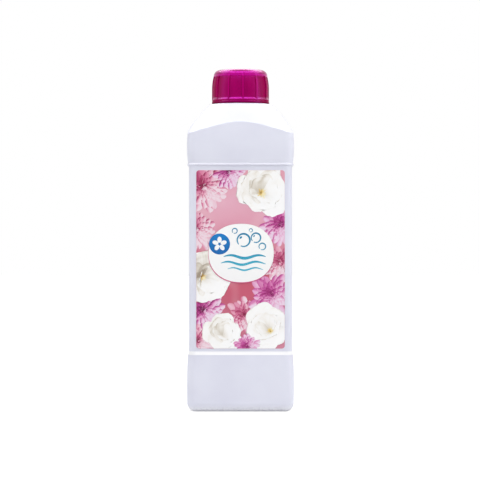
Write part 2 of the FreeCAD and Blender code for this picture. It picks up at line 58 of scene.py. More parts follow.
# %% Camera
CAMERA_DISTANCE = 1.628
CAMERA_HEIGHT = 0.1246
CAMERA_LEFT = 0.00037
LENS_MM = 165.0
SENSOR_MM = 36.0


def add_object(name, data, place=(0, 0, 0), turn=(0, 0, 0)):
    """Puts new data into the scene as an object."""
    made = bpy.data.objects.new(name, data)
    made.location = place
    made.rotation_euler = turn
    scene.collection.objects.link(made)
    return made


lens = bpy.data.cameras.new("camera")
lens.lens = LENS_MM
lens.sensor_width = SENSOR_MM
camera = add_object("camera", lens, (-CAMERA_LEFT, -CAMERA_DISTANCE, CAMERA_HEIGHT), (math.pi / 2, 0, 0))
scene.camera = camera
print("camera", camera.location[:])

# %% [markdown]
# ## A helper for node trees
# Shaders and Geometry Nodes are both trees of nodes. One function adds a node and fills its sockets in
# order: a number is set, another node's socket is linked, and None is left alone. With short helpers for
# the sums, a tree reads like the formula that it stands for.


# %% Node helpers
def add(tree, kind, settings, *values):
    """Adds a node, sets its options, and sets or links its sockets in order."""
    made = tree.nodes.new(kind)
    for option, choice in settings.items():
        setattr(made, option, choice)
    sockets = [s for s in made.inputs if s.enabled]
    for socket, value in zip(sockets, values):
        plug(tree, socket, value)
    return made


def plug(tree, socket, value):
    """Links a socket to another, or sets its value."""
    if isinstance(value, bpy.types.NodeSocket):
        tree.links.new(value, socket)
    elif value is not None:
        socket.default_value = value


def sums(tree, operation, *values):
    """The result of one Math node."""
    return add(tree, "ShaderNodeMath", {"operation": operation}, *values).outputs[0]


def vector_sums(tree, operation, *values):
    """The result of one Vector Math node: a number for a dot product or a length."""
    made = add(tree, "ShaderNodeVectorMath", {"operation": operation}, *values)
    return made.outputs["Value" if operation in ("DOT_PRODUCT", "LENGTH") else "Vector"]


def between(tree, value, low, high, to_low=0.0, to_high=1.0):
    """Turns the span low to high into to_low to to_high, with soft ends."""
    options = {"interpolation_type": "SMOOTHSTEP"}
    return add(tree, "ShaderNodeMapRange", options, value, low, high, to_low, to_high).outputs[0]


print("helpers ready")

# %% [markdown]
# ## Table and light
# The photograph has a pure white ground. Here the table and the world show white to the camera and in
# reflections, while the light that falls on the bottle stays plain. The sky's light comes a little more
# from the front and above than from behind and below. A soft box hangs overhead, and a strip on each
# side draws the upright edges. A ring of screens above the bottle only shows as mirror light: it draws
# a bright line along every edge that slopes up, on the crown of the cap, its shelf, the lip and the
# ledge of the lower band. The lamps are soft and weak, so that a colour renders about as it is written.

# %% Table, world and lamps
SKY_BEHIND = 0.49
SKY_FRONT = 0.9
OVERHEAD_WATTS = 4.4
SIDE_WATTS = 1.65
SCREEN_WATTS = 9.0
SCREEN_COUNT = 8
SCREEN_SIZE = (0.78, 0.8)
RING_RADIUS = 0.95
RING_HEIGHT = 1.3
LEFT_SHARE = 0.4
TABLE_HALF = 6
TABLE_WHITE = (0.74, 0.74, 0.74, 1)
TABLE_GLOW = 0.5


def white_to_camera(tree):
    """One where the camera or a reflection looks, nought where light is gathered."""
    path = add(tree, "ShaderNodeLightPath", {})
    seen = sums(tree, "MAXIMUM", path.outputs["Is Camera Ray"], path.outputs["Is Glossy Ray"])
    return sums(tree, "MAXIMUM", seen, path.outputs["Is Transmission Ray"])


world = bpy.data.worlds.new("studio")
world.use_nodes = True
scene.world = world
sky = world.node_tree
sky.nodes.clear()
towards = add(sky, "ShaderNodeTexCoord", {}).outputs["Generated"]
frontal = vector_sums(sky, "DOT_PRODUCT", towards, (0.0, -0.8, 0.6))
plain = between(sky, frontal, -1.0, 1.0, SKY_BEHIND, SKY_FRONT)
strength = between(sky, white_to_camera(sky), 0.0, 1.0, plain, 1.0)
backdrop = add(sky, "ShaderNodeBackground", {}, (1, 1, 1, 1), strength)
sky.links.new(backdrop.outputs[0], add(sky, "ShaderNodeOutputWorld", {}).inputs["Surface"])


def soft_box(name, watts, size, place, target, colour=(1, 1, 1)):
    """An area lamp that faces a point."""
    lamp = bpy.data.lights.new(name, "AREA")
    lamp.shape = "RECTANGLE"
    lamp.energy = watts
    lamp.color = colour
    lamp.size = size[0]
    lamp.size_y = size[1]
    towards = Vector(target) - Vector(place)
    return add_object(name, lamp, place, towards.to_track_quat("-Z", "Y").to_euler())


soft_box("overhead", OVERHEAD_WATTS, (1.1, 1.2), (0, -0.3, 1.15), (0, -0.3, 0.2), (0.97, 0.98, 1.0))
soft_box("right_strip", SIDE_WATTS, (0.25, 0.8), (0.95, -0.25, 0.28), (0, 0, 0.13))
soft_box("left_strip", SIDE_WATTS * LEFT_SHARE, (0.25, 0.9), (-0.95, -0.25, 0.35), (0, 0, 0.13))
for number in range(SCREEN_COUNT):
    angle = 2 * math.pi * number / SCREEN_COUNT
    place = (RING_RADIUS * math.sin(angle), -RING_RADIUS * math.cos(angle), RING_HEIGHT)
    screen = soft_box(f"screen_{number}", SCREEN_WATTS, SCREEN_SIZE, place, (0, 0, 0.2))
    screen.visible_diffuse = False

table_mesh = bpy.data.meshes.new("table")
table_corners = [(x * TABLE_HALF, y * TABLE_HALF, 0) for x, y in ((-1, -1), (1, -1), (1, 1), (-1, 1))]
table_mesh.from_pydata(table_corners, [], [(0, 1, 2, 3)])
table = add_object("table", table_mesh)
paint = bpy.data.materials.new("white_table")
paint.use_nodes = True
tree = paint.node_tree
tree.nodes.clear()
matt = add(tree, "ShaderNodeBsdfDiffuse", {}, TABLE_WHITE)
glow = add(tree, "ShaderNodeEmission", {}, (1, 1, 1, 1), TABLE_GLOW)
dark = add(tree, "ShaderNodeEmission", {}, (0, 0, 0, 1), 0.0)
lit = add(tree, "ShaderNodeMixShader", {}, white_to_camera(tree), dark.outputs[0], glow.outputs[0])
both = add(tree, "ShaderNodeAddShader", {}, matt.outputs[0], lit.outputs[0])
tree.links.new(both.outputs[0], add(tree, "ShaderNodeOutputMaterial", {}).inputs["Surface"])
table_mesh.materials.append(paint)
scene.view_settings.view_transform = "Standard"

# %% [markdown]
# ## How a finish is made
# Each finish is one Principled shader. Its colour, gloss and bump come from noise and from heights on
# Object coordinates, so the grain keeps its true size in millimetres and stays on the piece when the piece
# moves. A painted picture could hold the same marks, but would blur close up.


# %% Finish helper
def new_finish(name, roughness, **numbers):
    """A material with a Principled shader; numbers are its sockets, with _ for a space."""
    made = bpy.data.materials.new(name)
    made.use_nodes = True
    shader = made.node_tree.nodes["Principled BSDF"]
    shader.inputs["Roughness"].default_value = roughness
    for socket, value in numbers.items():
        shader.inputs[socket.replace("_", " ")].default_value = value
    return made, made.node_tree, shader


def object_place(tree):
    """Object coordinates, and their three parts."""
    place = add(tree, "ShaderNodeTexCoord", {}).outputs["Object"]
    parts = add(tree, "ShaderNodeSeparateXYZ", {}, place)
    return place, parts.outputs[0], parts.outputs[1], parts.outputs[2]


def noise(tree, place, size, detail=2.0, roughness=0.5):
    """Noise whose features are about size metres wide, from 0 to 1."""
    options = {"noise_dimensions": "3D"}
    return add(tree, "ShaderNodeTexNoise", options, place, 1.0 / size, detail, roughness).outputs[0]


def blend_colours(tree, amount, first, second):
    """A colour between two colours or colour sockets."""
    mixer = add(tree, "ShaderNodeMix", {"data_type": "RGBA"})
    plug(tree, mixer.inputs["Factor"], amount)
    plug(tree, mixer.inputs[6], first)
    plug(tree, mixer.inputs[7], second)
    return mixer.outputs[2]


def bump(tree, shader, height, distance):
    """Raises the surface by height times distance, in metres."""
    made = tree.nodes.new("ShaderNodeBump")
    made.inputs["Strength"].default_value = 1.0
    made.inputs["Distance"].default_value = distance
    tree.links.new(height, made.inputs["Height"])
    tree.links.new(made.outputs["Normal"], shader.inputs["Normal"])


def band(tree, value, low, high, blur):
    """One between low and high, nought outside them, with soft edges."""
    over_low = between(tree, value, low - blur, low + blur)
    under_high = between(tree, value, high - blur, high + blur, 1.0, 0.0)
    return sums(tree, "MULTIPLY", over_low, under_high)


def dress(node, finish):
    """Gives a solid's every material slot one finish."""
    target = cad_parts[node]
    for slot in target.material_slots:
        slot.material = finish
    return target


print("finish helpers ready")

# %% [markdown]
# ## Blown plastic
# The bottle is blown polyethylene: pale lavender and softly glossy, with a faint orange peel and a parting
# line up the middle of each side, where the halves of the mould met. The ledge of the lower band is painted
# paler, a painted highlight, and the foot is painted paler, painted light on its rounding. The fine lip at
# the foot of the upper band is painted darker, a painted shade. Small scuffs mark the foot, where the
# bottle slides on shelves.

# %% Bottle plastic
LAVENDER = (0.724, 0.731, 0.845, 1)
LAVENDER_PALE = (0.77, 0.781, 0.885, 1)
LAVENDER_SCUFF = (0.73, 0.73, 0.83, 1)
# Painted light: the foot and ledge colours below are painted light and painted highlight, and the lip
# colour is painted shade.
FOOT_PAINTED_LIGHT = (0.94, 0.945, 1.0, 1)
FOOT_TOP = 0.0058
LEDGE_PAINTED_HIGHLIGHT = (0.92, 0.92, 0.95, 1)
LIP_PAINTED_SHADE = (0.6, 0.605, 0.705, 1)
LEDGE_FOOT, LEDGE_TOP = 0.0412, 0.0438
LIP_FOOT, LIP_TOP = 0.1788, 0.1804
BAND_BLUR = 0.0003
CLOUD_SIZE = 0.035
SCUFF_SIZE = 0.0018
PEEL_SIZE = 0.0022
PEEL_SHARE = 0.16
SEAM_TOP, SEAM_EDGE = 0.00005, 0.00032
SEAM_HEIGHT = 0.00007

bottle_finish, tree, shader = new_finish("blown_polyethylene", 0.4, Coat_Weight=0.2, Coat_Roughness=0.2)
place, x, y, z = object_place(tree)
cloud = noise(tree, place, CLOUD_SIZE, 3.0)
body_colour = blend_colours(tree, between(tree, cloud, 0.3, 0.7), LAVENDER, LAVENDER_PALE)
# Painted highlight: the ledge of the lower band is painted paler, standing in for the light it catches.
ledge_highlight_mask = band(tree, z, LEDGE_FOOT, LEDGE_TOP, BAND_BLUR)
body_colour = blend_colours(tree, ledge_highlight_mask, body_colour, LEDGE_PAINTED_HIGHLIGHT)
# Painted shade: the fine lip at the foot of the upper band is painted darker.
lip_shade_mask = band(tree, z, LIP_FOOT, LIP_TOP, BAND_BLUR)
body_colour = blend_colours(tree, lip_shade_mask, body_colour, LIP_PAINTED_SHADE)
# Painted light: the foot is painted paler, standing in for light on its shaded rounding. The scuffs are
# real wear.
foot = between(tree, z, 0.0005, FOOT_TOP, 1.0, 0.0)
body_colour = blend_colours(tree, foot, body_colour, FOOT_PAINTED_LIGHT)
scuff = sums(tree, "MULTIPLY", foot, between(tree, noise(tree, place, SCUFF_SIZE, 4.0), 0.45, 0.6))
body_colour = blend_colours(tree, sums(tree, "MULTIPLY", scuff, 0.6), body_colour, LAVENDER_SCUFF)
tree.links.new(body_colour, shader.inputs["Base Color"])
peel = noise(tree, place, PEEL_SIZE, 2.0)
rough = sums(tree, "ADD", between(tree, peel, 0.2, 0.8, 0.36, 0.44), sums(tree, "MULTIPLY", scuff, 0.25))
tree.links.new(rough, shader.inputs["Roughness"])
seam = between(tree, sums(tree, "ABSOLUTE", y), SEAM_TOP, SEAM_EDGE, 1.0, 0.0)
relief = sums(tree, "ADD", sums(tree, "MULTIPLY", peel, PEEL_SHARE), seam)
bump(tree, shader, relief, SEAM_HEIGHT)
dress("bottle", bottle_finish)
print("bottle dressed in", bottle_finish.name)

# %% [markdown]
# ## The cap
# The cap is injection moulded polypropylene, glossier than the bottle. Fine streaks in the pigment show how
# the plastic flowed. The ribs are painted lighter than the panels between them, a painted highlight, and a
# band where the wall turns into the crown is painted paler, a painted highlight too. The foot of the cap is
# painted darker, a painted shade. The crown and the small shelf under the panels are polished, and mirror
# the ring of screens. The panels are duller and lose their gloss where they turn away. The mirror light is
# tinted, as saturated plastics show it. A gate mark, where the plastic entered the mould, lies in the
# middle of the top.

# %% Cap plastic
MAGENTA = (0.345, 0.0, 0.085, 1)
MAGENTA_DEEP = (0.29, 0.0, 0.064, 1)
# Painted light: the rib and crown colours below are painted highlights, and the foot colour is painted
# shade.
RIB_PAINTED_HIGHLIGHT = (0.41, 0.0, 0.115, 1)
CAP_FOOT_PAINTED_SHADE = (0.16, 0.0, 0.03, 1)
CROWN_PAINTED_HIGHLIGHT = (0.52, 0.0, 0.22, 1)
SHADED_FOOT, SHADED_TOP = 0.2252, 0.2272
CROWN_FOOT, CROWN_TOP = 0.2446, 0.2462
PAINTED_HIGHLIGHT_FOOT, PAINTED_HIGHLIGHT_TOP = 0.2442, 0.2472
SHELF_FOOT, SHELF_TOP = 0.22785, 0.22955
SHELF_BLUR = 0.00015
GATE_RADIUS = 0.0011
RIB_COUNT = 12
RIB_ANGLE = math.radians(5.0)
RIB_HALF = math.radians(1.7)
RIB_FOOT, RIB_TOP = 0.2292, 0.2445
RIB_FADE_FOOT, RIB_FADE_TOP = 0.001, 0.0015
PANEL_SHINE, CROWN_SHINE = 0.42, 0.95
PANEL_SHINE_LEFT, CROWN_SHINE_LEFT = 0.03, 0.75
MIRROR_TINT = (0.9, 0.05, 1.0, 1)
STREAK_SIZE = 0.006
GRAIN_SIZE = 0.0009
GRAIN_SHARE = 0.1
GATE_HEIGHT = 0.00012

cap_finish, tree, shader = new_finish("magenta_polypropylene", 0.24, Specular_Tint=MIRROR_TINT)
glancing = add(tree, "ShaderNodeLayerWeight", {}, 0.5).outputs["Facing"]
place, x, y, z = object_place(tree)
on_crown = between(tree, z, CROWN_FOOT, CROWN_TOP)
on_shelf = band(tree, z, SHELF_FOOT, SHELF_TOP, SHELF_BLUR)
polished = sums(tree, "MAXIMUM", on_crown, on_shelf)
polish = between(tree, polished, 0.0, 1.0, PANEL_SHINE, CROWN_SHINE)
shine_left = between(tree, polished, 0.0, 1.0, PANEL_SHINE_LEFT, CROWN_SHINE_LEFT)
dulled = between(tree, glancing, 0.15, 0.5, 1.0, shine_left)
tree.links.new(sums(tree, "MULTIPLY", polish, dulled), shader.inputs["Specular IOR Level"])
streak = noise(tree, vector_sums(tree, "MULTIPLY", place, (1, 1, 0.15)), STREAK_SIZE, 3.0)
pigment = blend_colours(tree, between(tree, streak, 0.3, 0.7), MAGENTA_DEEP, MAGENTA)
# Painted highlight: the ribs are painted a lighter magenta, standing in for light caught on their rounded
# tops.
turned = sums(tree, "SUBTRACT", sums(tree, "ARCTAN2", y, x), RIB_ANGLE)
from_rib = sums(tree, "PINGPONG", turned, math.pi / RIB_COUNT)
rib_highlight_mask = between(tree, from_rib, RIB_HALF * 0.6, RIB_HALF, 1.0, 0.0)
below_crown = between(tree, z, RIB_TOP - RIB_FADE_TOP, RIB_TOP, 1.0, 0.0)
above_shelf = between(tree, z, RIB_FOOT, RIB_FOOT + RIB_FADE_FOOT)
rib_highlight_mask = sums(tree, "MULTIPLY", rib_highlight_mask, sums(tree, "MULTIPLY", below_crown, above_shelf))
pigment = blend_colours(tree, rib_highlight_mask, pigment, RIB_PAINTED_HIGHLIGHT)
# Painted shade: the cap's foot is painted darker, standing in for the shade there.
shaded = between(tree, z, SHADED_FOOT, SHADED_TOP, 1.0, 0.0)
pigment = blend_colours(tree, shaded, pigment, CAP_FOOT_PAINTED_SHADE)
# Painted highlight: a paler band of magenta where the wall turns into the crown.
middle_of_painted_highlight = (PAINTED_HIGHLIGHT_FOOT + PAINTED_HIGHLIGHT_TOP) / 2
rising = between(tree, z, PAINTED_HIGHLIGHT_FOOT, middle_of_painted_highlight)
falling = between(tree, z, middle_of_painted_highlight, PAINTED_HIGHLIGHT_TOP, 1.0, 0.0)
pigment = blend_colours(tree, sums(tree, "MULTIPLY", rising, falling), pigment, CROWN_PAINTED_HIGHLIGHT)
tree.links.new(pigment, shader.inputs["Base Color"])
grain = noise(tree, place, GRAIN_SIZE, 2.0)
tree.links.new(between(tree, grain, 0.2, 0.8, 0.2, 0.28), shader.inputs["Roughness"])
from_middle = vector_sums(tree, "LENGTH", vector_sums(tree, "MULTIPLY", place, (1, 1, 0)))
gate = between(tree, from_middle, GATE_RADIUS * 0.6, GATE_RADIUS, 1.0, 0.0)
bump(tree, shader, sums(tree, "ADD", sums(tree, "MULTIPLY", grain, GRAIN_SHARE), gate), GATE_HEIGHT)
dress("screw_cap", cap_finish)
print("cap dressed in", cap_finish.name)

# %% [markdown]
# ## Inside the bottle
# The sealing disc is white closed-cell foam with fine pores, and the detergent is a thick pearly liquid.
# Neither shows until the cap comes off, but each gets its own finish. The pores are the cells of a Voronoi
# texture, which look like the bubbles of a foam, and the swirl in the liquid is noise drawn out in height.

# %% Disc and detergent
FOAM_WHITE = (0.86, 0.86, 0.84, 1)
FOAM_SHADE = (0.76, 0.76, 0.74, 1)
PORE_SIZE = 0.0007
PORE_DEPTH = 0.00005
disc_finish, tree, shader = new_finish("closed_cell_foam", 0.85)
place, x, y, z = object_place(tree)
cells = add(tree, "ShaderNodeTexVoronoi", {"feature": "F1"}, place, 1.0 / PORE_SIZE).outputs["Distance"]
pore = between(tree, cells, 0.15, 0.6)
tree.links.new(blend_colours(tree, pore, FOAM_SHADE, FOAM_WHITE), shader.inputs["Base Color"])
bump(tree, shader, pore, PORE_DEPTH)
dress("sealing_disc", disc_finish)

PEARL = (0.66, 0.46, 0.74, 1)
PEARL_LIGHT = (0.8, 0.64, 0.86, 1)
SWIRL_SIZE = 0.02
glow_inside = {"Subsurface_Weight": 0.2, "Subsurface_Scale": 0.01}
liquid_finish, tree, shader = new_finish("pearly_liquid", 0.12, **glow_inside)
place, x, y, z = object_place(tree)
swirl = noise(tree, vector_sums(tree, "MULTIPLY", place, (1, 1, 0.4)), SWIRL_SIZE, 4.0)
pearly = blend_colours(tree, between(tree, swirl, 0.4, 0.62), PEARL, PEARL_LIGHT)
tree.links.new(pearly, shader.inputs["Base Color"])
dress("detergent", liquid_finish)
print("inside dressed")

# %% [markdown]
# ## The label's ground
# The film is printed with a rose pink that is pale at the top and deep in the lower middle, with soft
# blotches as if flowers lay far out of focus. Both labels share one recipe: the height runs through a
# colour ramp, and broad noise pushes it up and down, so that no straight line shows between two colours.

# %% Label film
GROUND = [
    (0.00, (0.651, 0.242, 0.335, 1)),
    (0.22, (0.558, 0.112, 0.186, 1)),
    (0.42, (0.595, 0.102, 0.167, 1)),
    (0.62, (0.744, 0.307, 0.409, 1)),
    (0.85, (0.8, 0.428, 0.539, 1)),
    (1.00, (0.763, 0.353, 0.437, 1)),
]
ROSE_PALE = (0.84, 0.58, 0.635, 1)
BLOTCH_SIZE = 0.026
BLOTCH_PUSH = 0.35
PALE_SIZE = 0.017
FILM_GRAIN = 0.0012
FILM_RELIEF = 0.00001
PRINT_ROUGHNESS = 0.45
PRINT_SHINE = 0.3
low_corner, high_corner = (Vector(c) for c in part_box("front_label"))
print("front label from", low_corner[:], "to", high_corner[:])


def colour_ramp(tree, value, stops):
    """A Color Ramp with the given stops, each a place from 0 to 1 and a colour."""
    made = tree.nodes.new("ShaderNodeValToRGB")
    tree.links.new(value, made.inputs[0])
    marks = made.color_ramp.elements
    while len(marks) < len(stops):
        marks.new(0.5)
    for mark, (position, colour) in zip(marks, stops):
        mark.position = position
        mark.color = colour
    return made.outputs[0]


def film_finish(name, lightening):
    """Printed film: a ramp over the height, blotches, and the film's own satin grain."""
    made, tree, shader = new_finish(name, PRINT_ROUGHNESS, Specular_IOR_Level=PRINT_SHINE)
    place, x, y, z = object_place(tree)
    height = add(tree, "ShaderNodeMapRange", {}, z, low_corner.z, high_corner.z, 0.0, 1.0).outputs[0]
    blotch = noise(tree, place, BLOTCH_SIZE, 1.5)
    push = sums(tree, "MULTIPLY", sums(tree, "SUBTRACT", blotch, 0.5), BLOTCH_PUSH)
    ground = colour_ramp(tree, sums(tree, "ADD", height, push), GROUND)
    pale = between(tree, noise(tree, place, PALE_SIZE, 0.0), 0.5, 0.75, lightening, lightening + 0.3)
    ground = blend_colours(tree, pale, ground, ROSE_PALE)
    tree.links.new(ground, shader.inputs["Base Color"])
    bump(tree, shader, noise(tree, place, FILM_GRAIN, 2.0), FILM_RELIEF)
    return made


dress("front_label", film_finish("rose_film", 0.0))
dress("back_label", film_finish("rose_film_pale", 0.2))
print("labels dressed")

# %% [markdown]
# ## One petal, one blossom
# Every printed blossom is grown in depth first and then pressed flat, as a photograph of a real flower
# would be. A small grid is bent into a petal. Copies of it stand on a spiral, each turned by the golden
# angle from the last, the outer ones lying open and the inner ones upright. The light on each petal is
# worked out while the flower is still deep and is kept as an attribute, so the flat print keeps its form.

# %% Petal tree
GOLDEN_ANGLE = math.pi * (3 - math.sqrt(5))
PRINT_LIGHT = Vector((-0.42, 0.5, 0.76)).normalized()
ROW_CROWDING = 1.6
BASE_SWELL = 0.55
BASE_WIDTH = 0.02
FOLD = -0.12
SOCKET_KINDS = {
    float: "NodeSocketFloat",
    int: "NodeSocketInt",
    str: "NodeSocketMaterial",
    tuple: "NodeSocketVector",
}


def new_tree(name, sockets):
    """A Geometry Nodes tree with named inputs, its input node, and a place for its result."""
    made = bpy.data.node_groups.new(name, "GeometryNodeTree")
    for label, default in sockets.items():
        socket = made.interface.new_socket(label, in_out="INPUT", socket_type=SOCKET_KINDS[type(default)])
        if not isinstance(default, str):
            socket.default_value = default
    made.interface.new_socket("Geometry", in_out="OUTPUT", socket_type="NodeSocketGeometry")
    return made, made.nodes.new("NodeGroupInput").outputs, made.nodes.new("NodeGroupOutput").inputs[0]


def keep(tree, shape, name, value, domain="POINT"):
    """Stores a number on the shape under a name."""
    options = {"data_type": "FLOAT", "domain": domain}
    return add(tree, "GeometryNodeStoreNamedAttribute", options, shape, None, name, value).outputs[0]


def chance(tree, low, high, seed):
    """A random number for each element."""
    options = {"data_type": "FLOAT"}
    made = add(tree, "FunctionNodeRandomValue", options, low, high, None, seed)
    return next(s for s in made.outputs if s.enabled)


def petal_tree():
    """A petal of length one along Y: its width, its cup across and its bow along are inputs."""
    sockets = {"Columns": 7, "Rows": 9, "Width": 0.5, "Point": 0.5, "Cup": 0.3, "Bow": 0.2}
    tree, given, result = new_tree("petal", sockets)
    grid = add(tree, "GeometryNodeMeshGrid", {}, 2.0, 1.0, given["Columns"], given["Rows"]).outputs["Mesh"]
    parts = add(tree, "ShaderNodeSeparateXYZ", {}, tree.nodes.new("GeometryNodeInputPosition").outputs[0])
    across = parts.outputs[0]
    back = sums(tree, "SUBTRACT", 0.5, parts.outputs[1])
    along = sums(tree, "SUBTRACT", 1.0, sums(tree, "POWER", back, ROW_CROWDING))
    base = sums(tree, "POWER", sums(tree, "ADD", along, BASE_WIDTH), BASE_SWELL)
    tip = sums(tree, "POWER", sums(tree, "SUBTRACT", 1.0, along), given["Point"])
    half = sums(tree, "MULTIPLY", sums(tree, "MULTIPLY", base, tip), given["Width"])
    side = sums(tree, "MULTIPLY", across, half)
    cup_height = sums(tree, "MULTIPLY", half, given["Cup"])
    cup = sums(tree, "MULTIPLY", sums(tree, "MULTIPLY", across, across), cup_height)
    bow = sums(tree, "MULTIPLY", sums(tree, "MULTIPLY", along, along), given["Bow"])
    fold = sums(tree, "MULTIPLY", sums(tree, "ABSOLUTE", across), sums(tree, "MULTIPLY", half, FOLD))
    depth = sums(tree, "ADD", sums(tree, "ADD", cup, bow), fold)
    shape = keep(tree, keep(tree, grid, "along", along), "across", across)
    spot = add(tree, "ShaderNodeCombineXYZ", {}, side, along, depth).outputs[0]
    moved = add(tree, "GeometryNodeSetPosition", {}, shape, None, spot).outputs[0]
    tree.links.new(moved, result)
    return tree


petal = petal_tree()
print("petal tree has", len(petal.nodes), "nodes")

# %% [markdown]
# ## The whole blossom
# Chance gives each petal its own turn, tilt, size and tone, from seeds that are inputs, so a blossom grows
# the same way in every run. Noise that is the same for neighbouring petals then ruffles their edges. The
# light on a petal is the cosine between its face and the print's light, darker deep in the blossom. Petals
# placed by hand would take long and look stiff, and the spiral is how real flowers pack theirs.

# %% Blossom tree
PRESS = 0.00006
TURN_CHANCE = 0.12
TILT_CHANCE = 0.1
SIZE_CHANCE = (0.9, 1.08)
HEART_LIFT = 0.12
RUFFLE_SCALE = 5.0
HOLLOW_LIGHT = 0.45
SHADOW_LIGHT = 0.3
BLOSSOM_INPUTS = {
    "Petals": 40,
    "Radius": 0.012,
    "Columns": 7,
    "Rows": 9,
    "Width": 0.5,
    "Point": 0.5,
    "Cup": 0.3,
    "Bow": 0.2,
    "Inner size": 0.4,
    "Outer tilt": 0.15,
    "Inner tilt": 1.2,
    "Ruffle": 0.05,
    "Spin": 0.0,
    "Seed": 1,
    "Facing": (0.0, 0.0, 0.0),
    "Place": (0.0, 0.0, 0.0),
    "Press": PRESS,
    "Finish": "",
}


def blossom_tree():
    """Petals on a spiral, lit, pressed flat and set on the label's face."""
    tree, given, result = new_tree("blossom", BLOSSOM_INPUTS)
    leaf = tree.nodes.new("GeometryNodeGroup")
    leaf.node_tree = petal
    for label in ("Columns", "Rows", "Width", "Point", "Cup", "Bow"):
        tree.links.new(given[label], leaf.inputs[label])
    index = tree.nodes.new("GeometryNodeInputIndex").outputs[0]
    inward = sums(tree, "DIVIDE", index, given["Petals"])
    points = add(tree, "GeometryNodePoints", {}, given["Petals"]).outputs[0]
    golden = sums(tree, "ADD", sums(tree, "MULTIPLY", index, GOLDEN_ANGLE), given["Spin"])
    turn = sums(tree, "ADD", golden, chance(tree, -TURN_CHANCE, TURN_CHANCE, given["Seed"]))
    rise = add(tree, "ShaderNodeMapRange", {}, inward, 0.0, 1.0, given["Outer tilt"], given["Inner tilt"])
    tilt_seed = sums(tree, "ADD", given["Seed"], 1)
    tilt = sums(tree, "ADD", rise.outputs[0], chance(tree, -TILT_CHANCE, TILT_CHANCE, tilt_seed))
    euler = add(tree, "ShaderNodeCombineXYZ", {}, tilt, 0.0, turn).outputs[0]
    aim = add(tree, "FunctionNodeEulerToRotation", {}, euler).outputs[0]
    size = add(tree, "ShaderNodeMapRange", {}, inward, 0.0, 1.0, 1.0, given["Inner size"]).outputs[0]
    size = sums(tree, "MULTIPLY", size, chance(tree, *SIZE_CHANCE, sums(tree, "ADD", given["Seed"], 2)))
    heart = sums(tree, "MULTIPLY", inward, HEART_LIFT)
    lift = add(tree, "ShaderNodeCombineXYZ", {}, 0.0, 0.0, heart).outputs[0]
    points = add(tree, "GeometryNodeSetPosition", {}, points, None, lift).outputs[0]
    ring = add(tree, "GeometryNodeInstanceOnPoints", {}, points, None, leaf.outputs[0])
    plug(tree, ring.inputs["Rotation"], aim)
    plug(tree, ring.inputs["Scale"], size)
    shape = keep(tree, ring.outputs[0], "inward", inward, "INSTANCE")
    shape = keep(tree, shape, "tone", chance(tree, 0.0, 1.0, given["Seed"]), "INSTANCE")
    shape = add(tree, "GeometryNodeRealizeInstances", {}, shape).outputs[0]
    return ruffle_and_press(tree, given, shape, result)


def named(tree, name):
    """Reads a stored number."""
    return add(tree, "GeometryNodeInputNamedAttribute", {"data_type": "FLOAT"}, name).outputs[0]


def ruffle_and_press(tree, given, shape, result):
    """Waves the petals' edges, turns the blossom, stores its light, and presses it flat."""
    place = tree.nodes.new("GeometryNodeInputPosition").outputs[0]
    normal = tree.nodes.new("GeometryNodeInputNormal").outputs[0]
    options = {"noise_dimensions": "4D"}
    wave = add(tree, "ShaderNodeTexNoise", options, place, given["Seed"], RUFFLE_SCALE, 1.0, 0.5).outputs[0]
    swing = sums(tree, "MULTIPLY", sums(tree, "SUBTRACT", wave, 0.5), given["Ruffle"])
    push = vector_sums(tree, "SCALE", normal)
    plug(tree, push.node.inputs["Scale"], sums(tree, "MULTIPLY", swing, named(tree, "along")))
    plug(tree, push.node.inputs[0], normal)
    shape = add(tree, "GeometryNodeSetPosition", {}, shape, None, None, push).outputs[0]
    aim = add(tree, "FunctionNodeEulerToRotation", {}, given["Facing"]).outputs[0]
    shape_node = tree.nodes.new("GeometryNodeTransform")
    plug(tree, shape_node.inputs["Geometry"], shape)
    plug(tree, shape_node.inputs["Rotation"], aim)
    normal = tree.nodes.new("GeometryNodeInputNormal").outputs[0]
    light = vector_sums(tree, "DOT_PRODUCT", normal, tuple(PRINT_LIGHT))
    facing = vector_sums(tree, "DOT_PRODUCT", normal, (0, 0, 1))
    light = sums(tree, "MULTIPLY", light, sums(tree, "SIGN", facing))
    hollow = between(tree, named(tree, "along"), 0.0, 0.7, HOLLOW_LIGHT, 1.0)
    lit = sums(tree, "ADD", SHADOW_LIGHT, sums(tree, "MULTIPLY", 1.0 - SHADOW_LIGHT, light))
    shade = sums(tree, "MULTIPLY", lit, hollow)
    shape = keep(tree, shape_node.outputs[0], "shade", sums(tree, "MAXIMUM", shade, 0.0))
    parts = add(tree, "ShaderNodeSeparateXYZ", {}, tree.nodes.new("GeometryNodeInputPosition").outputs[0])
    spot = add(tree, "ShaderNodeSeparateXYZ", {}, given["Place"])
    right = sums(tree, "MULTIPLY_ADD", parts.outputs[0], given["Radius"], spot.outputs[0])
    up = sums(tree, "MULTIPLY_ADD", parts.outputs[1], given["Radius"], spot.outputs[2])
    flat = sums(tree, "MULTIPLY", parts.outputs[2], given["Press"])
    out = sums(tree, "SUBTRACT", spot.outputs[1], flat)
    target = add(tree, "ShaderNodeCombineXYZ", {}, right, out, up).outputs[0]
    shape = add(tree, "GeometryNodeSetPosition", {}, shape, None, target).outputs[0]
    shape = add(tree, "GeometryNodeSetMaterial", {}, shape, None, given["Finish"]).outputs[0]
    tree.links.new(shape, result)
    return tree


blossom = blossom_tree()
print("blossom tree has", len(blossom.nodes), "nodes")

# %% [markdown]
# ## The colours of the petals
# The stored light runs through a colour ramp from the petal's shadow to its brightest edge. Fine veins run
# from the base to the tip, and each petal's own tone shifts it a little, so no two petals are alike.

